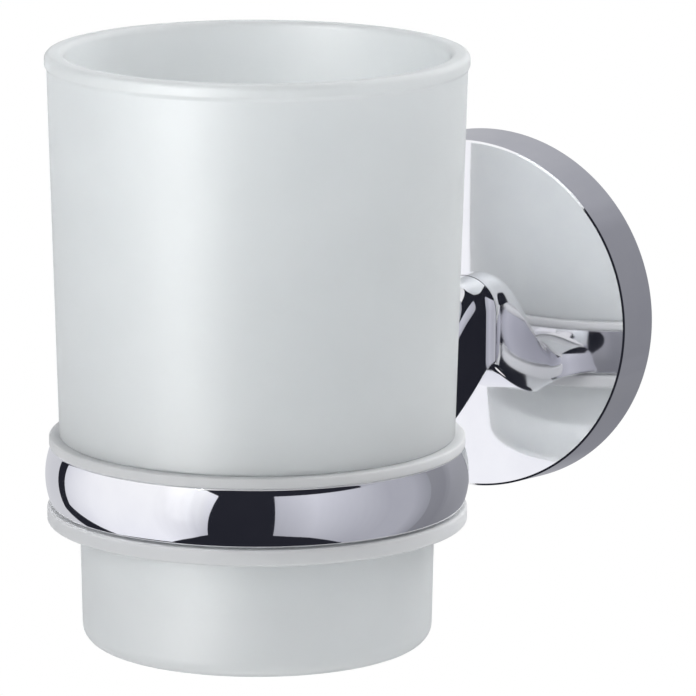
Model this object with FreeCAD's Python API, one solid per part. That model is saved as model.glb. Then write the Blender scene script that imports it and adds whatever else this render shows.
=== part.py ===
import FreeCAD, Part
import math
import os

# Wall holder with a frosted glass tumbler, in millimetres
# The wall is the plane Y = 0, the holder stands out towards -Y and +Z is up
# The origin is the centre of the rosette on the wall

# Tumbler
rim_diameter = 67.0
rim_round = 1.0
bead_height = 2.0
bead_step = 0.35
bead_blend = 0.6
body_taper = 1.7
upper_height = 61.4
shoulder_width = 2.9
shoulder_round = 0.8
lower_height = 33.4
lower_taper = 0.7
glass_wall = 2.7
glass_base = 8.5
inner_blend = 6.0
foot_round = 2.8
foot_width = 5.0
foot_hollow = 0.8

# Liner
tumbler_clearance = 0.35
liner_wall = 1.2
liner_lead_in = 0.9
upper_flange_width = 3.0
upper_flange_thickness = 1.7
lower_flange_width = 3.35
lower_flange_thickness = 2.6
flange_round_share = 0.18
flange_root_round = 0.2

# Ring
liner_running_clearance = 0.08
liner_end_play = 0.25
ring_wall = 3.57
ring_height = 9.3
ring_barrel_radius = 12.0
ring_edge_round = 0.4
ring_drop = 13.5
hand_room = 45.7

# Arm
arm_width = 11.8
arm_waist = 0.7
arm_crown_height = 6.7
arm_foot_depth = 7.95
arm_corner_round = 0.8
arm_crown_limit = 0.6
arm_foot_inset = 0.45
arm_top_inset = 0.9
arm_sink = 3.2
arm_flare_power = 7
arm_stations = 15
arm_station_crowding = 1.3
arm_waist_share = 0.09
arm_foot_share = 0.47
arm_foot_power = 1.4
arm_crown_start = 0.12
arm_crown_share = 0.6

# Rosette
rosette_diameter = 60.4
rosette_depth = 8.8
rosette_draft = 0.65
rosette_crown = 1.1
rosette_bevel_width = 0.35
rosette_bevel_depth = 0.16
rosette_wall = 2.4
arm_pocket_depth = 1.2
arm_pocket_clearance = 0.05
arm_seat_thickness = 3.0
seat_boss_diameter = 17.0

# Wall bracket
bracket_diameter = 42.0
bracket_thickness = 4.0
bracket_undercut = 1.4
bracket_edge_round = 0.3
bracket_window_gap = 1.5
wall_screw_spacing = 28.0
wall_screw_hole = 4.6
wall_screw_countersink = 8.8

# Hooks of the rosette behind the bracket
hook_clearance = 0.12
hook_low = 0.6
hook_high = 3.2
hook_spread = 80.0
hook_arc = 24.0

# Set screw
set_screw_diameter = 4.0
set_screw_height = 3.4
set_screw_recess = 0.6
set_screw_socket = 2.0
set_screw_socket_depth = 2.0
set_screw_tip_gap = 0.1
set_boss_width = 8.0
set_boss_share = 0.6

# Arm screw and its washer
arm_screw_diameter = 5.0
arm_screw_grip = 6.0
arm_screw_hole_spare = 1.0
arm_screw_head_diameter = 9.5
arm_screw_head_height = 3.0
arm_screw_socket = 3.0
arm_screw_socket_depth = 1.8
arm_screw_play = 0.25
washer_diameter = 9.2
washer_thickness = 1.0
washer_slit = 0.8
thread_clearance = 0.05

# Radii and levels that follow from the sizes above
rim_radius = rim_diameter / 2
body_top_radius = rim_radius - bead_step
shoulder_radius = body_top_radius - body_taper
lower_radius = shoulder_radius - shoulder_width
foot_radius = lower_radius - lower_taper
liner_bore = lower_radius + tumbler_clearance
sleeve_radius = liner_bore + liner_wall
ring_bore = sleeve_radius + liner_running_clearance
ring_radius = ring_bore + ring_wall
reach = hand_room + rim_radius

ring_top = ring_height / 2 - ring_drop
ring_bottom = -ring_height / 2 - ring_drop
seat_level = ring_top + upper_flange_thickness
rim_level = seat_level + upper_height
foot_level = seat_level - lower_height

rosette_radius = rosette_diameter / 2
face_radius = rosette_radius - rosette_draft - rosette_bevel_width
dome_radius = (face_radius ** 2 + rosette_crown ** 2) / (2 * rosette_crown)
dome_centre = rosette_depth + rosette_crown - dome_radius
pocket_floor = rosette_depth + rosette_crown - arm_pocket_depth
washer_seat = pocket_floor - arm_seat_thickness
cavity_radius = rosette_radius - rosette_wall
bracket_radius = bracket_diameter / 2

ORIGIN = FreeCAD.Vector(0, 0, 0)
X_AXIS = FreeCAD.Vector(1, 0, 0)
Y_AXIS = FreeCAD.Vector(0, 1, 0)
Z_AXIS = FreeCAD.Vector(0, 0, 1)
FULL_TURN = 360.0


def vec(x, y, z):
    return FreeCAD.Vector(x, y, z)


def line(start, end):
    return Part.LineSegment(start, end).toShape()


def face_of(edges):
    return Part.Face(Part.Wire(Part.__sortEdges__(edges)))


def rounded_edges(points, roundings):
    """Edges of a closed outline through the points, each corner rounded by its own radius."""
    edges = []
    arrivals = []
    departures = []
    for i, corner in enumerate(points):
        before = points[i - 1] - corner
        after = points[(i + 1) % len(points)] - corner
        before.normalize()
        after.normalize()
        half_angle = before.getAngle(after) / 2
        setback = roundings[i] / math.tan(half_angle)
        arrivals.append(corner + before * setback)
        departures.append(corner + after * setback)
        if roundings[i] > 0:
            inward = before + after
            inward.normalize()
            middle = corner + inward * (roundings[i] / math.sin(half_angle) - roundings[i])
            edges.append(Part.Arc(arrivals[i], middle, departures[i]).toShape())
    for i, start in enumerate(departures):
        end = arrivals[(i + 1) % len(points)]
        edges.append(line(start, end))
    return edges


def turned(corners, angle=FULL_TURN):
    """Solid turned about Z from (radius, height, corner rounding) corners."""
    points = [vec(radius, 0, height) for radius, height, rounding in corners]
    roundings = [rounding for radius, height, rounding in corners]
    return face_of(rounded_edges(points, roundings)).revolve(ORIGIN, Z_AXIS, angle)


def on_ring_axis(shape):
    """Move a shape turned about the origin to the axis of the ring."""
    shape.translate(vec(0, -reach, 0))
    return shape


def from_wall(shape):
    """Stand up a shape that is drawn as across, up and out from the wall."""
    shape.rotate(ORIGIN, X_AXIS, 90)
    return shape


def hexagon_prism(across_flats, length):
    corner_radius = across_flats / math.sqrt(3)
    corners = []
    for i in range(7):
        angle = math.radians(60 * i)
        corners.append(vec(corner_radius * math.cos(angle), corner_radius * math.sin(angle), 0))
    return Part.Face(Part.makePolygon(corners)).extrude(vec(0, 0, length))


def make_tumbler():
    """Glass with a rim bead, a tapered body that ends in a shoulder, and a lower body with a thick base."""
    bead_level = rim_level - bead_height
    inner_top = body_top_radius - glass_wall
    inner_shoulder = shoulder_radius - glass_wall
    inner_lower = lower_radius - glass_wall
    inner_foot = foot_radius - glass_wall
    inner_floor = foot_level + glass_base
    foot_inside = foot_radius - foot_round - foot_width
    outside = [
        (0, foot_level + foot_hollow, 0),
        (foot_inside - foot_hollow, foot_level + foot_hollow, foot_hollow),
        (foot_inside, foot_level, foot_hollow),
        (foot_radius, foot_level, foot_round),
        (lower_radius, seat_level, shoulder_round),
        (shoulder_radius, seat_level, shoulder_round),
        (body_top_radius, bead_level - bead_blend, bead_blend),
        (rim_radius, bead_level, bead_blend),
        (rim_radius, rim_level, rim_round),
    ]
    inside = [
        (inner_top, rim_level, rim_round),
        (inner_shoulder, seat_level + inner_blend, inner_blend),
        (inner_lower, seat_level - shoulder_round, inner_blend),
        (inner_foot, inner_floor, inner_blend),
        (0, inner_floor, 0),
    ]
    return on_ring_axis(turned(outside + inside))


def make_liner():
    """Spool that lines the ring: a sleeve with a seat flange above and a retaining flange below."""
    upper_radius = sleeve_radius + upper_flange_width
    lower_flange_radius = sleeve_radius + lower_flange_width
    lower_top = ring_bottom - liner_end_play
    lower_bottom = lower_top - lower_flange_thickness
    upper_round = flange_round_share * upper_flange_thickness
    lower_round = flange_round_share * lower_flange_thickness
    corners = [
        (liner_bore, lower_bottom, flange_root_round),
        (lower_flange_radius, lower_bottom, lower_round),
        (lower_flange_radius, lower_top, lower_round),
        (sleeve_radius, lower_top, flange_root_round),
        (sleeve_radius, ring_top, flange_root_round),
        (upper_radius, ring_top, upper_round),
        (upper_radius, seat_level, upper_round),
        (liner_bore, seat_level, liner_lead_in),
    ]
    return on_ring_axis(turned(corners))


def make_ring():
    """Barrel-section ring: straight bore, flat ends and a convex outside."""
    barrel_fall = ring_barrel_radius - math.sqrt(ring_barrel_radius ** 2 - ring_height ** 2 / 4)
    edge_radius = ring_radius - barrel_fall
    inner_low = vec(ring_bore, 0, ring_bottom)
    inner_high = vec(ring_bore, 0, ring_top)
    outer_high = vec(edge_radius, 0, ring_top)
    outer_low = vec(edge_radius, 0, ring_bottom)
    bulge = Part.Arc(outer_high, vec(ring_radius, 0, -ring_drop), outer_low).toShape()
    edges = [line(inner_low, inner_high), line(inner_high, outer_high), bulge, line(outer_low, inner_low)]
    ring = face_of(edges).revolve(ORIGIN, Z_AXIS, FULL_TURN)
    ring = ring.makeFillet(ring_edge_round, ring.Edges)
    return on_ring_axis(ring)


def quarter_oval(start, corner, end):
    """Quarter of an oval from start to end that fits the corner between them."""
    oval_pull = 0.5523
    curve = Part.BezierCurve()
    curve.setPoles([start, start + (corner - start) * oval_pull, end + (corner - end) * oval_pull, end])
    return curve.toShape()


def arch_wire(out, low, high, half_width, margin=0.0):
    """Arm section at a distance from the wall: flat foot, upright sides and a rounded crown."""
    half_width = half_width + margin
    low = low - margin
    high = high + margin
    spring = high - min(half_width, arm_crown_limit * (high - low))
    corner = arm_corner_round
    right_foot = vec(half_width - corner, low, out)
    right_heel = vec(half_width, low + corner, out)
    right_spring = vec(half_width, spring, out)
    crown = vec(0, high, out)
    left_spring = vec(-half_width, spring, out)
    left_heel = vec(-half_width, low + corner, out)
    left_foot = vec(corner - half_width, low, out)
    edges = [
        line(left_foot, right_foot),
        quarter_oval(right_foot, vec(half_width, low, out), right_heel),
        line(right_heel, right_spring),
        quarter_oval(right_spring, vec(half_width, high, out), crown),
        quarter_oval(crown, vec(-half_width, high, out), left_spring),
        line(left_spring, left_heel),
        quarter_oval(left_heel, vec(-half_width, low, out), left_foot),
    ]
    return Part.Wire(edges)


def arm_root_wire(out, margin=0.0):
    return arch_wire(out, -arm_foot_depth, arm_crown_height, arm_width / 2, margin)


def make_arm():
    """Arm lofted from an upright arch at the rosette, through a waist, to a low, wide section inside the ring."""
    root_end = pocket_floor + arm_pocket_depth
    wall_middle = (ring_bore + ring_radius) / 2
    end_to_axis = wall_middle - arm_sink
    waist_half = arm_width / 2 - arm_waist
    flare = math.sqrt(wall_middle ** 2 - end_to_axis ** 2) - waist_half
    arm_end = reach - end_to_axis
    low_at_ring = ring_bottom + arm_foot_inset
    high_at_ring = ring_top - arm_top_inset
    sections = []
    for i in range(arm_stations):
        along = (i / (arm_stations - 1)) ** arm_station_crowding
        root_left = max(1 - along / arm_waist_share, 0.0)
        foot_run = min(along / arm_foot_share, 1.0)
        crown_run = min(max(along - arm_crown_start, 0.0) / arm_crown_share, 1.0)
        foot_fall = 1 - (1 - foot_run) ** arm_foot_power
        crown_fall = crown_run ** 2 * (3 - 2 * crown_run)
        out = root_end + along * (arm_end - root_end)
        low = -arm_foot_depth + foot_fall * (low_at_ring + arm_foot_depth)
        high = arm_crown_height + crown_fall * (high_at_ring - arm_crown_height)
        half_width = waist_half + arm_waist * root_left ** 2 + flare * along ** arm_flare_power
        sections.append(arch_wire(out, low, high, half_width))
    reach_out = Part.makeLoft(sections, True, False)
    root = Part.Face(arm_root_wire(pocket_floor)).extrude(vec(0, 0, arm_pocket_depth))
    hole_depth = arm_screw_grip + arm_screw_hole_spare
    hole_radius = arm_screw_diameter / 2 + thread_clearance
    tapped_hole = Part.makeCylinder(hole_radius, hole_depth, vec(0, 0, pocket_floor))
    return from_wall(root.fuse(reach_out).cut(tapped_hole))


def make_holder():
    """Ring and arm as one casting, with the bore cut through both."""
    bore = Part.makeCylinder(ring_bore, ring_height, vec(0, -reach, ring_bottom))
    arm = make_arm().cut(bore)
    return make_ring().fuse(arm).removeSplitter()


def bracket_edge(height):
    """Radius of the bracket's undercut rim at a height above the wall."""
    return bracket_radius - bracket_undercut * (1 - height / bracket_thickness)


def domed_plug(wall_foot, wall_top, bevel_top, ball_radius):
    """Solid turned from a wall, a bevel and a dome about the centre of the rosette's face."""
    apex = vec(0, 0, dome_centre + ball_radius)
    half_chord = bevel_top.x / 2
    middle = vec(half_chord, 0, dome_centre + math.sqrt(ball_radius ** 2 - half_chord ** 2))
    dome = Part.Arc(bevel_top, middle, apex).toShape()
    edges = [line(ORIGIN, wall_foot), line(wall_foot, wall_top), dome, line(apex, ORIGIN)]
    if wall_top != bevel_top:
        edges.append(line(wall_top, bevel_top))
    return face_of(edges).revolve(ORIGIN, Z_AXIS, FULL_TURN)


def make_rosette_shell():
    """Drafted rim, bevelled edge and domed face, hollowed by a wall of even thickness."""
    front_radius = rosette_radius - rosette_draft
    bevel_low = vec(front_radius, 0, rosette_depth - rosette_bevel_depth)
    bevel_high = vec(face_radius, 0, rosette_depth)
    outside = domed_plug(vec(rosette_radius, 0, 0), bevel_low, bevel_high, dome_radius)
    inner_ball = dome_radius - rosette_wall
    inner_front = front_radius - rosette_wall
    inner_top = vec(inner_front, 0, dome_centre + math.sqrt(inner_ball ** 2 - inner_front ** 2))
    inside = domed_plug(vec(cavity_radius, 0, 0), inner_top, inner_top, inner_ball)
    return outside, inside


def make_hook(angle):
    """Cast hook that reaches from the rosette's wall behind the bracket's undercut rim."""
    root_radius = cavity_radius + rosette_wall / 2
    corners = [
        (bracket_edge(hook_low) + hook_clearance, hook_low, 0),
        (root_radius, hook_low, 0),
        (root_radius, hook_high, 0),
        (bracket_edge(hook_high) + hook_clearance, hook_high, 0),
    ]
    hook = turned(corners, hook_arc)
    hook.rotate(ORIGIN, Z_AXIS, angle - hook_arc / 2)
    return hook


def make_rosette():
    """Domed cover with hooks for the bracket, a boss for the set screw and a pocket for the arm."""
    shell, hollow = make_rosette_shell()
    boss_root = cavity_radius + rosette_wall / 2
    boss_length = rosette_wall / 2 + set_boss_share * (cavity_radius - bracket_radius)
    boss = Part.makeBox(set_boss_width, boss_length, washer_seat, vec(-set_boss_width / 2, -boss_root, 0))
    seat_boss = Part.makeCylinder(seat_boss_diameter / 2, arm_seat_thickness, vec(0, 0, washer_seat))
    up = 90.0
    hooks = [make_hook(up - hook_spread / 2), make_hook(up + hook_spread / 2)]
    body = shell.cut(hollow).fuse([boss, seat_boss] + hooks)
    pocket_outline = Part.Face(arm_root_wire(pocket_floor, arm_pocket_clearance))
    pocket = pocket_outline.extrude(vec(0, 0, arm_pocket_depth))
    screw_hole_radius = arm_screw_diameter / 2 + arm_screw_play
    screw_hole = Part.makeCylinder(screw_hole_radius, arm_seat_thickness, vec(0, 0, washer_seat))
    set_hole_radius = set_screw_diameter / 2 + thread_clearance
    set_hole = Part.makeCylinder(set_hole_radius, rosette_radius, vec(0, 0, set_screw_height), -Y_AXIS)
    return from_wall(body.cut([pocket, screw_hole, set_hole]).removeSplitter())


def make_wall_bracket():
    """Round plate with an undercut rim, a window for the arm screw and two countersunk holes."""
    window = arm_screw_head_diameter / 2 + bracket_window_gap
    plate = turned([
        (window, 0, bracket_edge_round),
        (bracket_edge(0), 0, bracket_edge_round),
        (bracket_edge(bracket_thickness), bracket_thickness, bracket_edge_round),
        (window, bracket_thickness, bracket_edge_round),
    ])
    hole_radius = wall_screw_hole / 2
    sink_radius = wall_screw_countersink / 2
    sink_depth = sink_radius - hole_radius
    for side in (-1, 1):
        across = side * wall_screw_spacing / 2
        hole = Part.makeCylinder(hole_radius, bracket_thickness, vec(across, 0, 0))
        sink_start = vec(across, 0, bracket_thickness - sink_depth)
        sink = Part.makeCone(hole_radius, sink_radius, sink_depth, sink_start)
        plate = plate.cut([hole, sink])
    return from_wall(plate)


def make_set_screw():
    """Grub screw with a cone point on the bracket's rim and a hexagon socket outside."""
    radius = set_screw_diameter / 2
    tip = bracket_edge(set_screw_height) + set_screw_tip_gap
    rim_there = rosette_radius - rosette_draft * set_screw_height / rosette_depth
    outer_end = rim_there - set_screw_recess
    shank_length = outer_end - tip - radius
    shank = Part.makeCylinder(radius, shank_length, vec(0, -outer_end, set_screw_height), Y_AXIS)
    point = Part.makeCone(radius, 0, radius, vec(0, -tip - radius, set_screw_height), Y_AXIS)
    socket = hexagon_prism(set_screw_socket, set_screw_socket_depth)
    socket.rotate(ORIGIN, X_AXIS, -90)
    socket.translate(vec(0, -outer_end, set_screw_height))
    return from_wall(shank.fuse(point).removeSplitter().cut(socket))


def make_arm_screw():
    """Cap screw from inside the rosette into the arm."""
    shank_start = washer_seat - washer_thickness
    shank_length = washer_thickness + arm_seat_thickness + arm_screw_grip
    shank = Part.makeCylinder(arm_screw_diameter / 2, shank_length, vec(0, 0, shank_start))
    head_start = shank_start - arm_screw_head_height
    head = Part.makeCylinder(arm_screw_head_diameter / 2, arm_screw_head_height, vec(0, 0, head_start))
    socket = hexagon_prism(arm_screw_socket, arm_screw_socket_depth)
    socket.translate(vec(0, 0, head_start))
    return from_wall(head.fuse(shank).removeSplitter().cut(socket))


def make_lock_washer():
    """Split spring washer between the head of the arm screw and the rosette."""
    start = vec(0, 0, washer_seat - washer_thickness)
    ring = Part.makeCylinder(washer_diameter / 2, washer_thickness, start)
    ring = ring.cut(Part.makeCylinder(arm_screw_diameter / 2 + arm_screw_play, washer_thickness, start))
    slit_start = start - vec(washer_slit / 2, 0, 0)
    slit = Part.makeBox(washer_slit, washer_diameter, washer_thickness, slit_start)
    return from_wall(ring.cut(slit))


pieces = {
    "tumbler": make_tumbler(),
    "liner": make_liner(),
    "holder": make_holder(),
    "rosette": make_rosette(),
    "wall_bracket": make_wall_bracket(),
    "set_screw": make_set_screw(),
    "arm_screw": make_arm_screw(),
    "lock_washer": make_lock_washer(),
}

os.makedirs("parts", exist_ok=True)
for name, shape in pieces.items():
    shape.exportStep("parts/" + name + ".step")
    print(name, "solids", len(shape.Solids), "valid", shape.isValid(), "volume", round(shape.Volume, 1))
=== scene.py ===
# %% [markdown]
# # A frosted tumbler in a chromed wall holder
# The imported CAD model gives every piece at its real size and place. This lesson dresses it: each piece that
# shows is made again as a fine, smooth mesh, because polished metal shows every facet, and each gets a
# finish of its own. The wall is the plane Y = 0, the holder stands out towards -Y, and +Z is up.

# %% Load the frame
import math
import bmesh
import bpy
from mathutils import Matrix, Vector


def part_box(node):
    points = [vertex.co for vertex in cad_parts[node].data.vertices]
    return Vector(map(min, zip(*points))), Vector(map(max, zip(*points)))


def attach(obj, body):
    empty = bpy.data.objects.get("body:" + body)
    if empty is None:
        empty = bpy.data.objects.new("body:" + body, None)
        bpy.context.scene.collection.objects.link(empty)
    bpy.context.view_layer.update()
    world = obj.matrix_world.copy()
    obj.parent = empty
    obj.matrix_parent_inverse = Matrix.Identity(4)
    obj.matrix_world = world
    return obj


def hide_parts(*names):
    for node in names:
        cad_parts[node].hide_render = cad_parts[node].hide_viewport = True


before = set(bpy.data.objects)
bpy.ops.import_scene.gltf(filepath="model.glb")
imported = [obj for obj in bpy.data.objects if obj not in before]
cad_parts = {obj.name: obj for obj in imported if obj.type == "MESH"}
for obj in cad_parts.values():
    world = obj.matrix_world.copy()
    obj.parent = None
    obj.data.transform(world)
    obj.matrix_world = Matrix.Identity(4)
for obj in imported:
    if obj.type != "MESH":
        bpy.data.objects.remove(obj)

MM = 0.001
scene = bpy.context.scene
scene.view_settings.view_transform = "Standard"
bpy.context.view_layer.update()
print("CAD nodes:", ", ".join(sorted(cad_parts)))

# %% [markdown]
# ## Camera
# The photograph was taken from the right and a little above, from about a metre away with a long lens. A
# camera could be aimed at a target, but a fitted view has a centre that is no point of the object. So it is
# placed by its three own directions: right, up and back.

# %% Camera
CAMERA_AZIMUTH = 29.4
CAMERA_ELEVATION = 11.7
CAMERA_DISTANCE = 1.068
CAMERA_RIGHT = -0.0245
CAMERA_UP = -0.00745
CAMERA_ROLL = math.radians(0.18)
CAMERA_LENS = 325.85


def towards(azimuth, elevation):
    """Direction from the object, in degrees to the right of straight out from the wall, and upwards."""
    around = math.radians(azimuth)
    rise = math.radians(elevation)
    return Vector((math.sin(around) * math.cos(rise), -math.cos(around) * math.cos(rise), math.sin(rise)))


back = towards(CAMERA_AZIMUTH, CAMERA_ELEVATION)
right = towards(CAMERA_AZIMUTH + 90, 0)
up = back.cross(right)
camera_data = bpy.data.cameras.new("photo_camera")
camera_data.lens = CAMERA_LENS
camera = bpy.data.objects.new("photo_camera", camera_data)
scene.collection.objects.link(camera)
turn = Matrix((right, up, back)).transposed() @ Matrix.Rotation(CAMERA_ROLL, 3, "Z")
place = back * CAMERA_DISTANCE + right * CAMERA_RIGHT + up * CAMERA_UP
camera.matrix_world = Matrix.Translation(place) @ turn.to_4x4()
scene.camera = camera
print("Camera at", [round(value, 3) for value in place])

# %% [markdown]
# ## Helpers for finishes
# A finish is a small network of nodes. One function adds a node, sets it and links it, so that a material
# reads as a list of what it is made of. Colours are written as they look on a screen and turned to linear
# light here.

# %% Helpers for nodes and colours
def add(tree, kind, settings=None, sockets=None):
    """Add a node: settings are its own properties, sockets its inputs, as values or other nodes' outputs."""
    made = tree.nodes.new(kind)
    for name, value in (settings or {}).items():
        setattr(made, name, value)
    for name, value in (sockets or {}).items():
        if isinstance(value, bpy.types.NodeSocket):
            tree.links.new(value, made.inputs[name])
        else:
            made.inputs[name].default_value = value
    return made


def linear(colour):
    """Linear RGBA of an sRGB colour such as #c8d0d2."""
    shares = [int(colour[i:i + 2], 16) / 255 for i in (1, 3, 5)]
    return [s / 12.92 if s <= 0.04045 else ((s + 0.055) / 1.055) ** 2.4 for s in shares] + [1.0]


def new_material(name):
    """New material and its tree, with no nodes in it yet."""
    material = bpy.data.materials.new(name)
    material.use_nodes = True
    tree = material.node_tree
    tree.nodes.clear()
    return material, tree


print("Middle grey on a screen is", round(linear("#808080")[0], 3), "in linear light")

# %% [markdown]
# ## White ground
# The photograph has a pure white ground and soft light. A very bright world would give that, and would
# bleach the pale glass. So the world is white only to what looks at it: the camera, reflections and views
# through glass. As a light it is a little dimmer from the sides and much dimmer from above, so that the
# glass keeps its shading.

# %% World
def seen_directly(tree):
    """Factor that is 1 where the camera, a reflection or a clear view through glass sees the surface."""
    path = add(tree, "ShaderNodeLightPath")
    two = add(tree, "ShaderNodeMath", {"operation": "MAXIMUM"},
              {0: path.outputs["Is Camera Ray"], 1: path.outputs["Is Glossy Ray"]})
    three = add(tree, "ShaderNodeMath", {"operation": "MAXIMUM"},
                {0: two.outputs[0], 1: path.outputs["Is Transmission Ray"]})
    return three.outputs[0]


AMBIENT = 0.98
CEILING = 0.34

world = bpy.data.worlds.new("white_studio")
world.use_nodes = True
scene.world = world
sky = world.node_tree
sky.nodes.clear()
direction = add(sky, "ShaderNodeTexCoord").outputs["Generated"]
height = add(sky, "ShaderNodeSeparateXYZ", None, {"Vector": direction}).outputs["Z"]
level_there = add(sky, "ShaderNodeMapRange", None,
                  {"Value": height, "To Min": AMBIENT, "To Max": AMBIENT * CEILING}).outputs["Result"]
ambient = add(sky, "ShaderNodeBackground", None, {"Color": linear("#ffffff"), "Strength": level_there})
white = add(sky, "ShaderNodeBackground", None, {"Color": linear("#ffffff"), "Strength": 1.0})
mixed = add(sky, "ShaderNodeMixShader", None,
            {0: seen_directly(sky), 1: ambient.outputs[0], 2: white.outputs[0]})
add(sky, "ShaderNodeOutputWorld", None, {"Surface": mixed.outputs[0]})
print("World lights with", AMBIENT, "from the sides and below,", round(AMBIENT * CEILING, 2), "from above")

# %% Floor
FLOOR_LEVEL = -1.8
FLOOR_HALF = 1.5
FLOOR_GLOW = 0.55

floor_material, tree = new_material("pale_studio_floor")
matt = add(tree, "ShaderNodeBsdfDiffuse", None, {"Color": linear("#e6e6e6")})
lift = add(tree, "ShaderNodeEmission", None, {"Color": linear("#ffffff"), "Strength": FLOOR_GLOW})
lit = add(tree, "ShaderNodeAddShader", None, {0: matt.outputs[0], 1: lift.outputs[0]})
both = add(tree, "ShaderNodeMixShader", None, {0: seen_directly(tree), 1: matt.outputs[0], 2: lit.outputs[0]})
add(tree, "ShaderNodeOutputMaterial", None, {"Surface": both.outputs[0]})

floor_mesh = bpy.data.meshes.new("floor")
corners = [(-FLOOR_HALF, -FLOOR_HALF, FLOOR_LEVEL), (FLOOR_HALF, -FLOOR_HALF, FLOOR_LEVEL),
           (FLOOR_HALF, FLOOR_HALF, FLOOR_LEVEL), (-FLOOR_HALF, FLOOR_HALF, FLOOR_LEVEL)]
floor_mesh.from_pydata(corners, [], [(0, 1, 2, 3)])
floor_mesh.materials.append(floor_material)
floor = bpy.data.objects.new("floor", floor_mesh)
scene.collection.objects.link(floor)
print("Floor at", FLOOR_LEVEL, "m")

# %% [markdown]
# ## The room that the chrome shows
# Polished metal shows the room it stands in, so the room is what makes it look like chrome: a large white
# softbox at the left, a dark gap where the camera stands, a grey scrim at the right, and grey walls. A
# picture of a studio could be wrapped around the scene. Here the room is made of curved cards instead,
# because each can be moved and shaded by itself. Only reflections see them, and they glow a little past
# white, because chrome keeps back a part of the light.

# %% Cards of the room
CARD_RADIUS = 0.85
CARD_GLOW = 1.09
DARK = "#24252d"
PALE = "#cccdd2"

# Each card has its share of the radius and its columns: azimuth, low and high elevation, low and high shade
CARDS = {
    "dark_room_front": (1.06, [
        (-104, -22, 30, DARK, DARK),
        (-94, -33, 36, DARK, DARK),
        (-69, -48, 36, DARK, DARK),
        (-30, -63, 36, DARK, DARK),
        (5, -63, 34, DARK, DARK),
        (12, -63, 50, DARK, DARK),
        (90, -63, 50, DARK, DARK),
    ]),
    "softbox": (1.0, [
        (-95, -20, 30, "#d2d3da", "#dcdde6"),
        (-69, -41, 42, "#ecedf4", "#fdfdff"),
        (-30, -49, 42, "#f2f3fa", "#fefeff"),
        (-10, -42, 40, "#d8d9e1", "#fdfdff"),
        (-4, -39, 33, "#c6c7d0", "#fbfcff"),
        (1, -37, 27, "#b8b9c2", "#fbfcff"),
        (9, 18, 20, "#e6e7f0", "#e6e7f0"),
    ]),
    "scrim": (1.0, [
        (39.5, -37, 20.5, "#a4a5ad", "#bcbdc6"),
        (62, -41, 20.5, "#b4b5be", "#d4d5de"),
        (87, -49, 20.5, "#a6a7b0", "#bebfc8"),
        (106, -49, 20.5, "#a6a7b0", "#aaabb4"),
    ]),
    "pale_wall_left": (1.12, [
        (-150, -60, 50, PALE, PALE),
        (-60, -60, 50, PALE, PALE),
    ]),
    "grey_wall_right": (1.06, [
        (90, -60, 50, "#a6a7b0", "#acadb6"),
        (122, -60, 50, "#a6a7b0", "#acadb6"),
        (136, -60, 50, "#8a8b92", "#989aa2"),
        (144, -60, 50, "#84858c", "#94959d"),
    ]),
    "grey_wall_back": (1.0, [
        (136, -30, 12, "#82838a", "#8a8b92"),
        (150, -30, 12, "#7e7f86", "#8a8b92"),
        (159, -30, 12, "#828389", "#a0a1a8"),
        (190, -30, 12, "#85868d", "#a6a7ad"),
        (202, -30, 12, "#98999f", "#a8a9af"),
        (212, -30, 12, "#a4a5ab", "#b8b9be"),
    ]),
    "grey_wall_below": (1.0, [
        (136, -75, -30, "#74757c", "#82838a"),
        (150, -75, -30, "#70717a", "#7e7f86"),
        (159, -75, -30, "#6e6f77", "#828389"),
        (190, -75, -30, "#70717a", "#85868d"),
        (202, -75, -30, "#9d9ea4", "#98999f"),
        (212, -75, -30, "#a8a9af", "#a4a5ab"),
    ]),
    "grey_wall_above": (1.0, [
        (136, 12, 50, "#8a8b92", "#989aa2"),
        (150, 12, 50, "#8a8b92", "#9a9ba3"),
        (159, 12, 50, "#a0a1a8", "#9c9da5"),
        (202, 12, 50, "#a8a9af", "#bebfc5"),
        (212, 12, 50, "#b8b9be", "#cbccd2"),
    ]),
}
print("Room of", len(CARDS), "cards,", CARD_RADIUS, "m away")

# %% Hanging the cards
CARD_STEP = 5.0
tumbler_low, tumbler_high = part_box("tumbler")
ring_axis = (tumbler_low.y + tumbler_high.y) / 2


def studio_card(name, share, columns):
    """Curved card around the ring's axis that only reflections see. Its columns give edges and shades."""
    material, tree = new_material(name)
    shade = add(tree, "ShaderNodeVertexColor", {"layer_name": "glow"})
    glow = add(tree, "ShaderNodeEmission", None, {"Color": shade.outputs["Color"], "Strength": CARD_GLOW})
    add(tree, "ShaderNodeOutputMaterial", None, {"Surface": glow.outputs[0]})
    ends = [(Vector(column[:3]), Vector(linear(column[3])), Vector(linear(column[4]))) for column in columns]
    fine = [ends[0]]
    for first, second in zip(ends, ends[1:]):
        steps = max(1, round((second[0].x - first[0].x) / CARD_STEP))
        for i in range(1, steps + 1):
            fine.append([one.lerp(other, i / steps) for one, other in zip(first, second)])
    radius = CARD_RADIUS * share
    points = []
    shades = []
    for (azimuth, low, high), low_shade, high_shade in fine:
        angle = math.radians(azimuth)
        for elevation in (low, high):
            points.append((radius * math.sin(angle), ring_axis - radius * math.cos(angle),
                           radius * math.tan(math.radians(elevation))))
        shades += [low_shade, high_shade]
    faces = [(2 * i, 2 * i + 2, 2 * i + 3, 2 * i + 1) for i in range(len(fine) - 1)]
    mesh = bpy.data.meshes.new(name)
    mesh.from_pydata(points, [], faces)
    for item, shade_there in zip(mesh.color_attributes.new("glow", "FLOAT_COLOR", "POINT").data, shades):
        item.color = shade_there
    mesh.materials.append(material)
    card = bpy.data.objects.new(name, mesh)
    scene.collection.objects.link(card)
    card.visible_camera = False
    card.visible_diffuse = False
    card.visible_transmission = False
    card.visible_shadow = False
    return card


for name, (share, columns) in CARDS.items():
    card = studio_card(name, share, columns)
    print("Card", card.name, "with", len(card.data.polygons), "faces")

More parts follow.
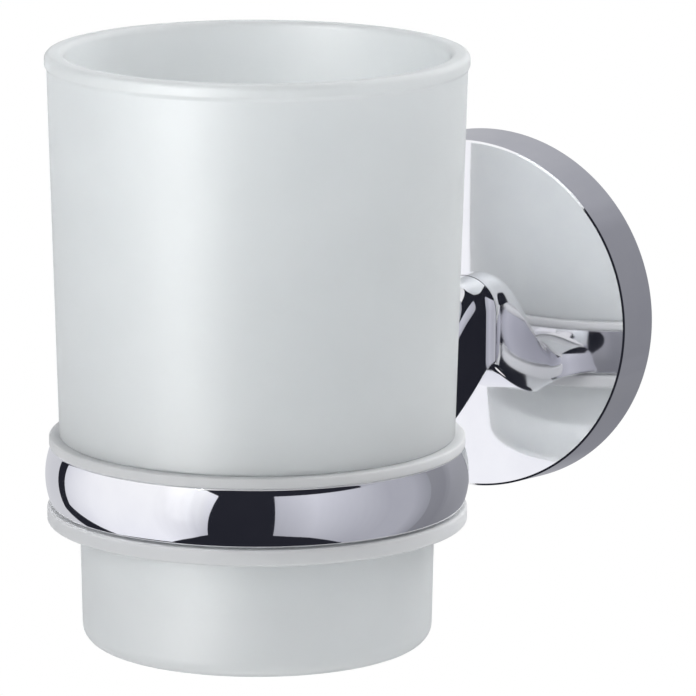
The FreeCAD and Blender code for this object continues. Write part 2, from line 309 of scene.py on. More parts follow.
# %% [markdown]
# ## Flag
# In a studio a flag is a dark card that takes light away. This one stands low behind the glass at the left
# and keeps the light from there off the lower glass. A weaker world could do it too, but would darken all
# the rest. Reflections don't see it.

# %% Flag
FLAG_SHARE = 0.3
FLAG_COLUMNS = [(205, -60, -12, DARK, DARK), (255, -60, -12, DARK, DARK)]

flag = studio_card("dark_flag", FLAG_SHARE, FLAG_COLUMNS)
flag.visible_glossy = False
flag.visible_diffuse = True
flag.visible_transmission = True
flag.visible_shadow = True
print("Flag at", round(CARD_RADIUS * FLAG_SHARE, 3), "m")

# %% [markdown]
# ## Lamps
# A soft bright streak runs down the glass left of its middle, and some light comes through the glass from
# behind. One strong lamp could do both, but it would burn the pale glass out. So each lamp has one task: a
# weak key at the left, a tall strip that shows only as gloss, and a soft fill from behind that no
# reflection shows.

# %% Lamps
LAMP_DISTANCE = 1.5


def softbox_lamp(name, azimuth, elevation, width, height, power, gloss=True, fill=True):
    """Rectangular lamp that looks at the middle of the tumbler, for its gloss, for soft light, or both."""
    lamp = bpy.data.lights.new(name, "AREA")
    lamp.shape = "RECTANGLE"
    lamp.size = width
    lamp.size_y = height
    lamp.energy = power
    aim = towards(azimuth, elevation)
    spot = Vector((0, ring_axis, 0)) + aim * LAMP_DISTANCE
    stand = bpy.data.objects.new(name, lamp)
    stand.matrix_world = Matrix.Translation(spot) @ aim.to_track_quat("Z", "Y").to_matrix().to_4x4()
    stand.visible_glossy = gloss
    stand.visible_diffuse = fill
    stand.visible_transmission = fill
    scene.collection.objects.link(stand)
    print("Lamp", name, "of", power, "W")


softbox_lamp("key_softbox", azimuth=-30, elevation=15, width=0.6, height=1.2, power=3.0)
softbox_lamp("highlight_strip", azimuth=-11, elevation=10, width=0.38, height=1.6, power=46.0, fill=False)
softbox_lamp("back_fill", azimuth=160, elevation=38, width=1.0, height=1.0, power=20.0, gloss=False)

# %% [markdown]
# ## Frosted glass
# The tumbler is pressed soda-lime glass, etched with acid outside and in. The etched skin scatters light
# both ways, so the glass looks like pale satin with a faint green-grey cast, and nothing shows through it
# but soft shade. Clear glass with a rough skin could stand in, but etched glass is milkier. So one half
# lets light through, and in the other half light sinks in a few millimetres and comes out again nearby.

# %% Frosted glass
ETCH_GRAIN = 0.30 * MM
ETCH_CLOUD = 14 * MM
ETCH_DEPTH = 4 * MM


def make_frosted_glass():
    """Acid-etched glass: pale, matt, half clear, with a grain that is drawn coarser than real to show."""
    material, tree = new_material("acid_etched_glass")
    where = add(tree, "ShaderNodeTexCoord").outputs["Object"]
    cloud = add(tree, "ShaderNodeTexNoise", None, {"Vector": where, "Scale": 1 / ETCH_CLOUD, "Detail": 3.0})
    tint = add(tree, "ShaderNodeValToRGB", None, {"Fac": cloud.outputs["Fac"]})
    tint.color_ramp.elements[0].position = 0.3
    tint.color_ramp.elements[0].color = linear("#e5e8e9")
    tint.color_ramp.elements[1].position = 0.7
    tint.color_ramp.elements[1].color = linear("#e9eced")
    grain = add(tree, "ShaderNodeTexNoise", None, {"Vector": where, "Scale": 1 / ETCH_GRAIN, "Detail": 2.0})
    rough = add(tree, "ShaderNodeMapRange", None,
                {"Value": grain.outputs["Fac"], "To Min": 0.46, "To Max": 0.58})
    bump = add(tree, "ShaderNodeBump", None,
               {"Strength": 0.12, "Distance": 0.02 * MM, "Height": grain.outputs["Fac"]})
    glass = add(tree, "ShaderNodeBsdfPrincipled", None, {
        "Base Color": tint.outputs["Color"],
        "Roughness": rough.outputs["Result"],
        "IOR": 1.5,
        "Specular IOR Level": 1.0,
        "Transmission Weight": 0.5,
        "Subsurface Weight": 0.7,
        "Subsurface Radius": (1.0, 1.0, 1.0),
        "Subsurface Scale": ETCH_DEPTH,
        "Normal": bump.outputs["Normal"],
    })
    add(tree, "ShaderNodeOutputMaterial", None, {"Surface": glass.outputs[0]})
    return material


frosted_glass = make_frosted_glass()
print("Finish:", frosted_glass.name)

# %% [markdown]
# ## Translucent plastic
# The liner is natural low-density polyethylene, injection moulded: milky, a little waxy, greyer than the
# glass. Plain matt plastic would be simpler, but its thin flanges would look like painted metal. So light
# sinks into it as it does into the glass, and less of it goes through.

# %% Polyethylene
MOULD_CLOUD = 9 * MM
MOULD_GRAIN = 0.5 * MM
MILK_DEPTH = 4 * MM


def make_polyethylene():
    """Moulded polyethylene: milky, with light that goes a little way in and a soft waxy gloss."""
    material, tree = new_material("natural_polyethylene")
    where = add(tree, "ShaderNodeTexCoord").outputs["Object"]
    cloud = add(tree, "ShaderNodeTexNoise", None, {"Vector": where, "Scale": 1 / MOULD_CLOUD, "Detail": 2.0})
    tint = add(tree, "ShaderNodeValToRGB", None, {"Fac": cloud.outputs["Fac"]})
    tint.color_ramp.elements[0].position = 0.3
    tint.color_ramp.elements[0].color = linear("#d1d3d6")
    tint.color_ramp.elements[1].position = 0.7
    tint.color_ramp.elements[1].color = linear("#d7d9db")
    grain = add(tree, "ShaderNodeTexNoise", None, {"Vector": where, "Scale": 1 / MOULD_GRAIN, "Detail": 2.0})
    rough = add(tree, "ShaderNodeMapRange", None,
                {"Value": grain.outputs["Fac"], "To Min": 0.52, "To Max": 0.62})
    bump = add(tree, "ShaderNodeBump", None,
               {"Strength": 0.08, "Distance": 0.02 * MM, "Height": grain.outputs["Fac"]})
    plastic = add(tree, "ShaderNodeBsdfPrincipled", None, {
        "Base Color": tint.outputs["Color"],
        "Roughness": rough.outputs["Result"],
        "IOR": 1.51,
        "Specular IOR Level": 0.25,
        "Transmission Weight": 0.2,
        "Subsurface Weight": 0.7,
        "Subsurface Radius": (1.0, 1.0, 1.0),
        "Subsurface Scale": MILK_DEPTH,
        "Normal": bump.outputs["Normal"],
    })
    add(tree, "ShaderNodeOutputMaterial", None, {"Surface": plastic.outputs[0]})
    return material


polyethylene = make_polyethylene()
print("Finish:", polyethylene.name)

# %% [markdown]
# ## Chrome plate
# Ring, arm and rosette are zinc castings, polished and plated with bright chrome. The plate mirrors the
# room with a slight blue cast. A perfect mirror would be simpler, but real plate isn't one: its gloss
# wavers a little where it was polished, and a soft noise gives that.

# %% Chrome plate
POLISH_WAVE = 6 * MM


def make_chrome():
    """Bright chrome plate: a cool mirror whose gloss wavers with the polishing."""
    material, tree = new_material("polished_chrome_plate")
    where = add(tree, "ShaderNodeTexCoord").outputs["Object"]
    wave = add(tree, "ShaderNodeTexNoise", None, {"Vector": where, "Scale": 1 / POLISH_WAVE, "Detail": 4.0})
    rough = add(tree, "ShaderNodeMapRange", None,
                {"Value": wave.outputs["Fac"], "From Min": 0.3, "From Max": 0.7,
                 "To Min": 0.02, "To Max": 0.05})
    tint = add(tree, "ShaderNodeValToRGB", None, {"Fac": wave.outputs["Fac"]})
    tint.color_ramp.elements[0].position = 0.3
    tint.color_ramp.elements[0].color = linear("#ececef")
    tint.color_ramp.elements[1].position = 0.7
    tint.color_ramp.elements[1].color = linear("#f0f0f2")
    plate = add(tree, "ShaderNodeBsdfPrincipled", None, {
        "Base Color": tint.outputs["Color"],
        "Metallic": 1.0,
        "Roughness": rough.outputs["Result"],
    })
    add(tree, "ShaderNodeOutputMaterial", None, {"Surface": plate.outputs[0]})
    return material


chrome = make_chrome()
print("Finish:", chrome.name)

# %% [markdown]
# ## Zinc plate and stainless steel
# The pieces behind the rosette are plain hardware. The bracket is pressed steel with a bluish zinc plate
# that is cloudy in patches: cells times noise. The screws and the washer are stainless steel, drawn and
# turned, with fine lines: a wave in rings. One grey metal would do from the front, but they show from
# behind.

# %% Zinc plate and stainless steel
SPANGLE = 3.5 * MM
# The lines are drawn coarser than real to show. At scale 1 a wave runs through 20 radians in a unit of length
TURNING_LINES = 1.57 * MM
WAVE_RADIANS = 20


def make_zinc_plate():
    """Zinc-plated steel: a cool satin grey with cloudy patches of gloss."""
    material, tree = new_material("bright_zinc_plate")
    where = add(tree, "ShaderNodeTexCoord").outputs["Object"]
    patch = add(tree, "ShaderNodeTexVoronoi", None, {"Vector": where, "Scale": 1 / SPANGLE})
    cloud = add(tree, "ShaderNodeTexNoise", None, {"Vector": where, "Scale": 1 / SPANGLE, "Detail": 5.0})
    mixed = add(tree, "ShaderNodeMath", {"operation": "MULTIPLY"},
                {0: patch.outputs["Distance"], 1: cloud.outputs["Fac"]})
    tint = add(tree, "ShaderNodeValToRGB", None, {"Fac": mixed.outputs[0]})
    tint.color_ramp.elements[0].position = 0.05
    tint.color_ramp.elements[0].color = linear("#c3c7cf")
    tint.color_ramp.elements[1].position = 0.5
    tint.color_ramp.elements[1].color = linear("#a9aeb8")
    rough = add(tree, "ShaderNodeMapRange", None,
                {"Value": mixed.outputs[0], "To Min": 0.26, "To Max": 0.5})
    steel = add(tree, "ShaderNodeBsdfPrincipled", None, {
        "Base Color": tint.outputs["Color"],
        "Metallic": 1.0,
        "Roughness": rough.outputs["Result"],
    })
    add(tree, "ShaderNodeOutputMaterial", None, {"Surface": steel.outputs[0]})
    return material


def make_stainless():
    """Stainless steel: warm grey with fine turning lines across the length of the screw."""
    material, tree = new_material("turned_stainless_steel")
    where = add(tree, "ShaderNodeTexCoord").outputs["Object"]
    lines = add(tree, "ShaderNodeTexWave", {"wave_type": "RINGS", "rings_direction": "Y"},
                {"Vector": where, "Scale": math.tau / (WAVE_RADIANS * TURNING_LINES),
                 "Distortion": 1.5, "Detail": 2.0})
    tint = add(tree, "ShaderNodeValToRGB", None, {"Fac": lines.outputs["Fac"]})
    tint.color_ramp.elements[0].color = linear("#b9b8b6")
    tint.color_ramp.elements[1].color = linear("#cbcac8")
    rough = add(tree, "ShaderNodeMapRange", None,
                {"Value": lines.outputs["Fac"], "To Min": 0.2, "To Max": 0.34})
    steel = add(tree, "ShaderNodeBsdfPrincipled", None, {
        "Base Color": tint.outputs["Color"],
        "Metallic": 1.0,
        "Roughness": rough.outputs["Result"],
    })
    add(tree, "ShaderNodeOutputMaterial", None, {"Surface": steel.outputs[0]})
    return material


zinc_plate = make_zinc_plate()
stainless = make_stainless()
print("Finishes:", zinc_plate.name, "and", stainless.name)

# %% [markdown]
# ## A tree that turns pieces
# Glass, liner, ring and rosette are all turned forms: one outline swept round an axis. A Screw modifier or
# a spin would do it, but a Geometry Nodes tree also rounds each corner by its own radius, closes the poles,
# marks the sharp edges and sets the finish. The outline is a poly curve whose point radius is the rounding
# of that corner.

# %% The turning tree
PATH_RADIUS = 1 * MM
STEPS_AROUND = 256
CORNER_STEPS = 10
SHARP_ANGLE = math.radians(15)
WELD = 0.0005 * MM


def make_turning_tree():
    """Geometry Nodes tree: outline in, turned mesh out."""
    tree = bpy.data.node_groups.new("turned_piece", "GeometryNodeTree")
    face = tree.interface
    face.new_socket("Outline", in_out="INPUT", socket_type="NodeSocketGeometry")
    face.new_socket("Steps Around", in_out="INPUT", socket_type="NodeSocketInt")
    face.new_socket("Corner Steps", in_out="INPUT", socket_type="NodeSocketInt")
    face.new_socket("Tilt", in_out="INPUT", socket_type="NodeSocketRotation")
    face.new_socket("Place", in_out="INPUT", socket_type="NodeSocketVector")
    face.new_socket("Finish", in_out="INPUT", socket_type="NodeSocketMaterial")
    face.new_socket("Piece", in_out="OUTPUT", socket_type="NodeSocketGeometry")
    given = add(tree, "NodeGroupInput").outputs
    rounding = add(tree, "GeometryNodeInputRadius")
    rounded = add(tree, "GeometryNodeFilletCurve", {"mode": "POLY"}, {
        "Curve": given["Outline"], "Count": given["Corner Steps"],
        "Radius": rounding.outputs[0], "Limit Radius": True})
    path = add(tree, "GeometryNodeCurvePrimitiveCircle", None,
               {"Resolution": given["Steps Around"], "Radius": PATH_RADIUS})
    swept = add(tree, "GeometryNodeCurveToMesh", None,
                {"Curve": path.outputs["Curve"], "Profile Curve": rounded.outputs[0]})
    welded = add(tree, "GeometryNodeMergeByDistance", None, {"Geometry": swept.outputs[0], "Distance": WELD})
    smooth = add(tree, "GeometryNodeSetShadeSmooth", {"domain": "FACE"},
                 {"Geometry": welded.outputs[0], "Shade Smooth": True})
    angle = add(tree, "GeometryNodeInputMeshEdgeAngle")
    sharp = add(tree, "FunctionNodeCompare", {"data_type": "FLOAT", "operation": "GREATER_THAN"},
                {"A": angle.outputs["Unsigned Angle"], "B": SHARP_ANGLE})
    creased = add(tree, "GeometryNodeSetShadeSmooth", {"domain": "EDGE"},
                  {"Geometry": smooth.outputs[0], "Selection": sharp.outputs[0], "Shade Smooth": False})
    placed = add(tree, "GeometryNodeTransform", None, {
        "Geometry": creased.outputs[0], "Translation": given["Place"], "Rotation": given["Tilt"]})
    real = add(tree, "GeometryNodeRealizeInstances", None, {"Geometry": placed.outputs[0]})
    finished = add(tree, "GeometryNodeSetMaterial", None,
                   {"Geometry": real.outputs[0], "Material": given["Finish"]})
    add(tree, "NodeGroupOutput", None, {"Piece": finished.outputs[0]})
    return tree


turning_tree = make_turning_tree()
print("Turning tree with", len(turning_tree.nodes), "nodes")

# %% Turning a piece
def baked(name, source):
    """Plain mesh object of what a source's modifiers make. The source is removed."""
    bpy.context.view_layer.update()
    seen = source.evaluated_get(bpy.context.evaluated_depsgraph_get())
    mesh = bpy.data.meshes.new_from_object(seen)
    bpy.data.objects.remove(source)
    piece = bpy.data.objects.new(name, mesh)
    scene.collection.objects.link(piece)
    mesh.name = name
    return piece


def turned(name, corners, finish, place=(0, 0, 0), tilt=(0, 0, 0), closed=False):
    """Turn (radius, height, rounding) corners in mm, listed down the outside and up the inside."""
    curve = bpy.data.curves.new(name, "CURVE")
    curve.dimensions = "3D"
    spline = curve.splines.new("POLY")
    spline.points.add(len(corners) - 1)
    for point, (radius, height, rounding) in zip(spline.points, corners):
        point.co = (radius * MM - PATH_RADIUS, -height * MM, 0, 1)
        point.radius = rounding * MM
    spline.use_cyclic_u = closed
    source = bpy.data.objects.new(name + "_outline", curve)
    scene.collection.objects.link(source)
    modifier = source.modifiers.new("turn", "NODES")
    modifier.node_group = turning_tree
    values = {"Steps Around": STEPS_AROUND, "Corner Steps": CORNER_STEPS,
              "Tilt": tilt, "Place": place, "Finish": finish}
    for item in turning_tree.interface.items_tree:
        if item.name in values:
            modifier[item.identifier] = values[item.name]
    piece = baked(name, source)
    print(name, "turned,", len(piece.data.polygons), "faces")
    return piece


def arc(centre, radius, start, end, steps):
    """Corners along an arc about (radius, height), in degrees from the outward direction."""
    points = []
    for i in range(steps + 1):
        angle = math.radians(start + (end - start) * i / steps)
        points.append((centre[0] + radius * math.cos(angle), centre[1] + radius * math.sin(angle), 0))
    return points


# %% [markdown]
# ## Tumbler
# The glass was pressed: a bead strengthens the rim, the body tapers to a shoulder that hangs in the liner,
# and the base is thick and slightly hollow underneath. It could be joined from cylinders, but one outline
# from the floor inside, over the rim and down to the foot gives a single wall without seams.

# %% Tumbler
axis_place = (0, ring_axis, 0)
rim = (tumbler_high.x - tumbler_low.x) / 2 / MM
rim_level = tumbler_high.z / MM
foot_level = tumbler_low.z / MM
liner_low, liner_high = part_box("liner")
seat_level = liner_high.z / MM

BEAD_STEP = 0.35
BEAD_HEIGHT = 2.0
BEAD_BLEND = 0.6
BODY_TAPER = 1.7
SHOULDER_WIDTH = 2.9
LOWER_TAPER = 0.7
GLASS_WALL = 2.7
GLASS_BASE = 8.5
RIM_ROUND = 1.0
SHOULDER_ROUND = 0.8
SHOULDER_EDGE = 0.3
INNER_BLEND = 6.0
FOOT_ROUND = 2.8
FOOT_WIDTH = 5.0
FOOT_HOLLOW = 0.8

body_top = rim - BEAD_STEP
shoulder = body_top - BODY_TAPER
lower = shoulder - SHOULDER_WIDTH
foot = lower - LOWER_TAPER
foot_inside = foot - FOOT_ROUND - FOOT_WIDTH
floor_inside = foot_level + GLASS_BASE
tumbler = turned("tumbler_glass", [
    (0, floor_inside, 0),
    (foot - GLASS_WALL, floor_inside, INNER_BLEND),
    (lower - GLASS_WALL, seat_level - SHOULDER_ROUND, INNER_BLEND),
    (shoulder - GLASS_WALL, seat_level + INNER_BLEND, INNER_BLEND),
    (body_top - GLASS_WALL, rim_level, RIM_ROUND),
    (rim, rim_level, RIM_ROUND),
    (rim, rim_level - BEAD_HEIGHT, BEAD_BLEND),
    (body_top, rim_level - BEAD_HEIGHT - BEAD_BLEND, BEAD_BLEND),
    (shoulder, seat_level, SHOULDER_EDGE),
    (lower, seat_level, SHOULDER_ROUND),
    (foot, foot_level, FOOT_ROUND),
    (foot_inside, foot_level, FOOT_HOLLOW),
    (foot_inside - FOOT_HOLLOW, foot_level + FOOT_HOLLOW, FOOT_HOLLOW),
    (0, foot_level + FOOT_HOLLOW, 0),
], frosted_glass, axis_place)
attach(tumbler, "tumbler")
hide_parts("tumbler")

# %% [markdown]
# ## Liner
# The spool snaps into the ring. Its upper flange carries the glass, and its thicker lower flange keeps it
# in place. A tube with two discs would do, but a closed outline has no faces inside. The flanges stand a
# hair's breadth off the ring, because meshes that only touch would cross when the liner turns.

# %% Liner
RING_HEIGHT = 9.3
LINER_WALL = 1.2
TUMBLER_CLEARANCE = 0.35
LINER_LEAD_IN = 0.9
UPPER_FLANGE_WIDTH = 3.0
UPPER_FLANGE = 1.7
LOWER_FLANGE = 2.6
FLANGE_ROUND_SHARE = 0.18
FLANGE_ROOT = 0.2
FLANGE_GAP = 0.04

holder_low, holder_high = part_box("holder")
ring_bottom = holder_low.z / MM
ring_top = ring_bottom + RING_HEIGHT
bore = lower + TUMBLER_CLEARANCE
sleeve = bore + LINER_WALL
lower_flange = (liner_high.x - liner_low.x) / 2 / MM
lower_bottom = liner_low.z / MM
lower_top = lower_bottom + LOWER_FLANGE - FLANGE_GAP
liner = turned("liner_spool", [
    (bore, seat_level, LINER_LEAD_IN),
    (sleeve + UPPER_FLANGE_WIDTH, seat_level, FLANGE_ROUND_SHARE * UPPER_FLANGE),
    (sleeve + UPPER_FLANGE_WIDTH, ring_top + FLANGE_GAP, FLANGE_ROUND_SHARE * UPPER_FLANGE),
    (sleeve, ring_top + FLANGE_GAP, FLANGE_ROOT),
    (sleeve, lower_top, FLANGE_ROOT),
    (lower_flange, lower_top, FLANGE_ROUND_SHARE * LOWER_FLANGE),
    (lower_flange, lower_bottom, FLANGE_ROUND_SHARE * LOWER_FLANGE),
    (bore, lower_bottom, FLANGE_ROOT),
], polyethylene, axis_place, closed=True)
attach(liner, "liner")
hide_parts("liner")

# %% [markdown]
# ## Holder
# Ring and arm are one casting. The ring is turned, with a barrel-shaped outside. The arm could be a bent
# tube, but the real one changes its shape along the way. So it is a row of sections, each an arch with a
# flat foot, that sinks from the rosette to the ring and flares into it. A Boolean cuts the arm's end to the
# inside of the ring's wall and joins the two.

# %% Ring of the holder
BARREL_RADIUS = 12.0
RING_RUNNING_CLEARANCE = 0.08
RING_EDGE = 0.4
BARREL_STEPS = 28

ring_radius = (holder_high.x - holder_low.x) / 2 / MM
ring_bore = sleeve + RING_RUNNING_CLEARANCE
ring_middle = (ring_top + ring_bottom) / 2
barrel_angle = math.degrees(math.asin(RING_HEIGHT / 2 / BARREL_RADIUS))
barrel_centre = (ring_radius - BARREL_RADIUS, ring_middle)
barrel = arc(barrel_centre, BARREL_RADIUS, barrel_angle, -barrel_angle, BARREL_STEPS)
barrel[0] = barrel[0][:2] + (RING_EDGE,)
barrel[-1] = barrel[-1][:2] + (RING_EDGE,)
ring_outline = barrel + [(ring_bore, ring_bottom, RING_EDGE), (ring_bore, ring_top, RING_EDGE)]
holder = turned("holder_casting", ring_outline, chrome, axis_place, closed=True)

# %% Section of the arm
ARM_WIDTH = 11.8
ARM_CROWN = 6.7
ARM_FOOT = 7.95
ARM_CORNER = 0.8
ARM_CROWN_LIMIT = 0.6
OVAL_STEPS = 14
CORNER_ARC_STEPS = 8
SIDE_STEPS = 6


def oval(centre, width, height, start, end, steps):
    """Points of an oval's arc, from start to end in degrees from the right."""
    points = []
    for i in range(steps + 1):
        angle = math.radians(start + (end - start) * i / steps)
        points.append((centre[0] + width * math.cos(angle), centre[1] + height * math.sin(angle)))
    return points


def between(start, end, steps):
    """Points inside a straight stretch."""
    return [(start[0] + (end[0] - start[0]) * i / steps, start[1] + (end[1] - start[1]) * i / steps)
            for i in range(1, steps)]


def arch(low, high, half_width, margin=0.0):
    """Arm section across and up: flat foot, upright sides and a rounded crown."""
    low -= margin
    high += margin
    half_width += margin
    crown = min(half_width, ARM_CROWN_LIMIT * (high - low))
    heel_centre = (half_width - ARM_CORNER, low + ARM_CORNER)
    heel_right = oval(heel_centre, ARM_CORNER, ARM_CORNER, -90, 0, CORNER_ARC_STEPS)
    over = oval((0, high - crown), half_width, crown, 0, 180, 2 * OVAL_STEPS)
    heel_left = [(-x, z) for x, z in reversed(heel_right)]
    right_side = between(heel_right[-1], over[0], SIDE_STEPS)
    left_side = between(over[-1], heel_left[0], SIDE_STEPS)
    sole = between(heel_left[-1], heel_right[0], 2 * SIDE_STEPS)
    return heel_right + right_side + over + left_side + heel_left + sole


print("Arm section of", len(arch(-ARM_FOOT, ARM_CROWN, ARM_WIDTH / 2)), "points")

# %% Skins and Booleans
def skinned(name, rings, finish):
    """Closed mesh over rings of points in metres, with both ends filled."""
    shape = bmesh.new()
    rows = [[shape.verts.new(point) for point in ring] for ring in rings]
    for first, second in zip(rows, rows[1:]):
        for i in range(len(first)):
            shape.faces.new((first[i - 1], first[i], second[i], second[i - 1]))
    shape.faces.new(rows[0])
    shape.faces.new(rows[-1][::-1])
    bmesh.ops.recalc_face_normals(shape, faces=shape.faces)
    mesh = bpy.data.meshes.new(name)
    shape.to_mesh(mesh)
    shape.free()
    mesh.materials.append(finish)
    mesh.shade_smooth()
    piece = bpy.data.objects.new(name, mesh)
    scene.collection.objects.link(piece)
    print(name, "skinned over", len(rings), "rings")
    return piece


def lofted(name, sections, finish):
    """Closed mesh through (distance from the wall, outline) sections, in mm."""
    rings = [[(x * MM, -out * MM, z * MM) for x, z in outline] for out, outline in sections]
    return skinned(name, rings, finish)


def joined(piece, other, operation):
    """Result of a Boolean between two pieces, which are both used up."""
    modifier = piece.modifiers.new("join", "BOOLEAN")
    modifier.operation = operation
    modifier.solver = "EXACT"
    modifier.object = other
    result = baked(piece.name, piece)
    bpy.data.objects.remove(other)
    return result


# %% Arm of the holder
ARM_WAIST = 0.7
ARM_FOOT_INSET = 0.45
ARM_TOP_INSET = 0.9
ARM_SINK = 3.2
ARM_FLARE_POWER = 7
ARM_WAIST_SHARE = 0.09
ARM_WAIST_POWER = 4
ARM_FOOT_SHARE = 0.47
ARM_FOOT_POWER = 1.4
ARM_CROWN_START = 0.12
ARM_CROWN_SHARE = 0.6
ARM_STATIONS = 96
ARM_STATION_CROWDING = 1.3
ARM_POCKET_DEPTH = 1.2

wall_middle = (ring_bore + ring_radius) / 2
reach = -ring_axis / MM
end_to_axis = wall_middle - ARM_SINK
waist_half = ARM_WIDTH / 2 - ARM_WAIST
flare = math.sqrt(wall_middle ** 2 - end_to_axis ** 2) - waist_half
arm_end = reach - end_to_axis
arm_root = -holder_high.y / MM
rosette_apex = arm_root + ARM_POCKET_DEPTH
sections = [(arm_root, arch(-ARM_FOOT, ARM_CROWN, ARM_WIDTH / 2))]
for i in range(ARM_STATIONS + 1):
    along = (i / ARM_STATIONS) ** ARM_STATION_CROWDING
    root_left = max(1 - along / ARM_WAIST_SHARE, 0)
    foot_fall = 1 - (1 - min(along / ARM_FOOT_SHARE, 1)) ** ARM_FOOT_POWER
    crown_run = min(max(along - ARM_CROWN_START, 0) / ARM_CROWN_SHARE, 1)
    crown_fall = crown_run ** 2 * (3 - 2 * crown_run)
    out = rosette_apex + along * (arm_end - rosette_apex)
    low = -ARM_FOOT + foot_fall * (ring_bottom + ARM_FOOT_INSET + ARM_FOOT)
    high = ARM_CROWN + crown_fall * (ring_top - ARM_TOP_INSET - ARM_CROWN)
    half_width = waist_half + ARM_WAIST * root_left ** ARM_WAIST_POWER + flare * along ** ARM_FLARE_POWER
    sections.append((out, arch(low, high, half_width)))
arm = lofted("arm", sections, chrome)
print("Arm from", round(arm_root, 1), "to", round(arm_end, 1), "mm off the wall")

# %% Ring and arm joined
def plug(name, radius, low, high, place, tilt=(0, 0, 0)):
    """Plain cylinder to cut with."""
    return turned(name, [(0, high, 0), (radius, high, 0), (radius, low, 0), (0, low, 0)], chrome, place, tilt)


def crease(piece):
    """Smooth shading with sharp edges at real corners, and normals that follow the large faces."""
    mesh = piece.data
    mesh.shade_smooth()
    mesh.set_sharp_from_angle(angle=SHARP_ANGLE)
    modifier = piece.modifiers.new("even_normals", "WEIGHTED_NORMAL")
    modifier.keep_sharp = True
    return baked(piece.name, piece)


FROM_WALL = (math.radians(90), 0, 0)
CUT_OVERRUN = 1.0
ARM_SCREW = 5.0
ARM_SCREW_GRIP = 6.0
THREAD_CLEARANCE = 0.05

inner_cut = plug("inner_cut", (ring_bore + wall_middle) / 2,
                 ring_bottom - CUT_OVERRUN, ring_top + CUT_OVERRUN, axis_place)
arm = joined(arm, inner_cut, "DIFFERENCE")
tapped_hole = plug("tapped_hole", ARM_SCREW / 2 + THREAD_CLEARANCE,
                   arm_root - CUT_OVERRUN, arm_root + ARM_SCREW_GRIP + CUT_OVERRUN, (0, 0, 0), FROM_WALL)
arm = joined(arm, tapped_hole, "DIFFERENCE")
holder = joined(holder, arm, "UNION")
holder = crease(holder)
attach(holder, "wall_holder")
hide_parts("holder")
print("Holder with", len(holder.data.polygons), "faces")

# %% [markdown]
# ## Rosette
# The wall cover is a shallow drum with a gently domed face. Face, rim, hollow back and the seat for the arm
# screw are turned about its own axis. Its two hooks for the bracket and the boss for the set screw could
# not be turned with it, so they are joined on, and the pocket for the arm's root and the holes are cut
# last.

# %% Rosette
ROSETTE_DEPTH = 8.8
ROSETTE_DRAFT = 0.65
BEVEL_WIDTH = 0.35
BEVEL_DEPTH = 0.16
ROSETTE_WALL = 2.4
SEAT_BOSS_RADIUS = 8.5
ARM_SEAT = 3.0
DOME_STEPS = 40

rosette_low, rosette_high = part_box("rosette")
rosette_radius = (rosette_high.x - rosette_low.x) / 2 / MM
front_radius = rosette_radius - ROSETTE_DRAFT
face_radius = front_radius - BEVEL_WIDTH
crown_height = rosette_apex - ROSETTE_DEPTH
dome_radius = (face_radius ** 2 + crown_height ** 2) / (2 * crown_height)
dome_centre = rosette_apex - dome_radius
inner_ball = dome_radius - ROSETTE_WALL
washer_seat = arm_root - ARM_SEAT
cavity_radius = rosette_radius - ROSETTE_WALL


def dome(ball, first_radius, last_radius, steps):
    """Corners along a dome about the face's centre, between two distances from the axis."""
    first = math.degrees(math.acos(first_radius / ball))
    last = math.degrees(math.acos(last_radius / ball))
    return arc((0, dome_centre), ball, first, last, steps)


rosette_outline = dome(dome_radius, 0, face_radius, DOME_STEPS)
rosette_outline += [
    (front_radius, ROSETTE_DEPTH - BEVEL_DEPTH, 0),
    (rosette_radius, 0, 0),
    (cavity_radius, 0, 0),
]
rosette_outline += dome(inner_ball, front_radius - ROSETTE_WALL, SEAT_BOSS_RADIUS, DOME_STEPS // 2)
rosette_outline += [(SEAT_BOSS_RADIUS, washer_seat, 0), (0, washer_seat, 0)]
rosette = turned("rosette_cover", rosette_outline, chrome, (0, 0, 0), FROM_WALL)

# %% Hooks of the rosette
BRACKET_RADIUS = 21.0
BRACKET_THICKNESS = 4.0
BRACKET_UNDERCUT = 1.4
HOOK_CLEARANCE = 0.12
HOOK_LOW = 0.6
HOOK_HIGH = 3.2
HOOK_AZIMUTHS = (-40, 40)
HOOK_ARC = 24.0
HOOK_STEPS = 12

rim_middle = cavity_radius + ROSETTE_WALL / 2


def bracket_edge(height):
    """Radius of the bracket's undercut rim at a height above the wall."""
    return BRACKET_RADIUS - BRACKET_UNDERCUT * (1 - height / BRACKET_THICKNESS)


def hook(azimuth):
    """Cast hook behind the bracket's rim, swept through its arc about the rosette's axis."""
    outline = [(bracket_edge(HOOK_LOW) + HOOK_CLEARANCE, HOOK_LOW), (rim_middle, HOOK_LOW),
               (rim_middle, HOOK_HIGH), (bracket_edge(HOOK_HIGH) + HOOK_CLEARANCE, HOOK_HIGH)]
    rings = []
    for i in range(HOOK_STEPS + 1):
        angle = math.radians(azimuth - HOOK_ARC / 2 + HOOK_ARC * i / HOOK_STEPS)
        across = math.sin(angle) * MM
        upward = math.cos(angle) * MM
        rings.append([(radius * across, -out * MM, radius * upward) for radius, out in outline])
    return skinned("hook", rings, chrome)


for azimuth in HOOK_AZIMUTHS:
    rosette = joined(rosette, hook(azimuth), "UNION")

# %% Boss, pocket and holes of the rosette
SET_SCREW = 4.0
SET_SCREW_HEIGHT = 3.4
SET_BOSS_WIDTH = 8.0
SET_BOSS_SHARE = 0.6
SET_BOSS_GAP = 0.02
SCREW_PLAY = 0.25
POCKET_CLEARANCE = 0.05

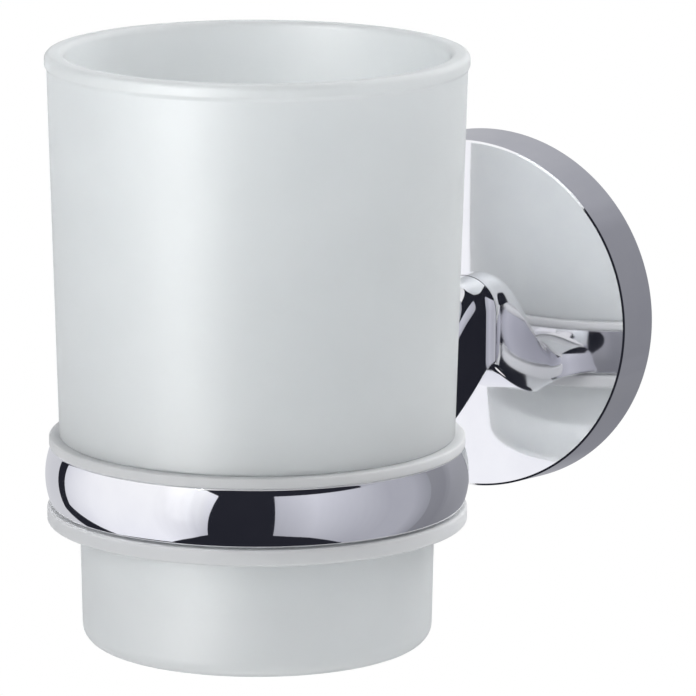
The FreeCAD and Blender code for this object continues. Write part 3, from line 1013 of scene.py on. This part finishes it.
boss_end = cavity_radius - SET_BOSS_SHARE * (cavity_radius - BRACKET_RADIUS)
half_boss = SET_BOSS_WIDTH / 2
boss_outline = [(-half_boss, -rim_middle), (half_boss, -rim_middle),
                (half_boss, -boss_end), (-half_boss, -boss_end)]
set_boss = lofted("set_boss", [(SET_BOSS_GAP, boss_outline), (washer_seat, boss_outline)], chrome)
rosette = joined(rosette, set_boss, "UNION")

pocket_outline = arch(-ARM_FOOT, ARM_CROWN, ARM_WIDTH / 2, POCKET_CLEARANCE)
pocket_ends = [(arm_root, pocket_outline), (rosette_apex + CUT_OVERRUN, pocket_outline)]
pocket = lofted("pocket", pocket_ends, chrome)
rosette = joined(rosette, pocket, "DIFFERENCE")
screw_hole = plug("screw_hole", ARM_SCREW / 2 + SCREW_PLAY,
                  washer_seat - CUT_OVERRUN, arm_root + CUT_OVERRUN, (0, 0, 0), FROM_WALL)
rosette = joined(rosette, screw_hole, "DIFFERENCE")
set_hole = plug("set_hole", SET_SCREW / 2 + THREAD_CLEARANCE,
                -rosette_radius - CUT_OVERRUN, -boss_end + CUT_OVERRUN, (0, -SET_SCREW_HEIGHT * MM, 0))
rosette = joined(rosette, set_hole, "DIFFERENCE")
rosette = crease(rosette)
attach(rosette, "wall_holder")
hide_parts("rosette")
print("Rosette with", len(rosette.data.polygons), "faces")

# %% [markdown]
# ## Bracket, screws and washer
# These small pieces already have their true shape in the CAD model. They could be turned again, but they
# sit behind the rosette. So a copy of each is welded and shaded smooth, so that its round faces look round,
# and gets its metal.

# %% Hardware behind the rosette
HARDWARE = [
    ("wall_bracket", "zinc_plate", zinc_plate),
    ("set_screw", "stainless_steel", stainless),
    ("arm_screw", "stainless_steel", stainless),
    ("lock_washer", "stainless_steel", stainless),
]

for node, slot_name, finish in HARDWARE:
    shape = bmesh.new()
    shape.from_mesh(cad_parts[node].data)
    bmesh.ops.remove_doubles(shape, verts=shape.verts, dist=WELD)
    mesh = bpy.data.meshes.new(node + "_metal")
    shape.to_mesh(mesh)
    shape.free()
    mesh.materials.clear()
    mesh.materials.append(finish)
    piece = bpy.data.objects.new(node + "_metal", mesh)
    scene.collection.objects.link(piece)
    piece = crease(piece)
    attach(piece, "wall_holder")
    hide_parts(node)
    print(node, "welded,", len(piece.data.polygons), "faces")
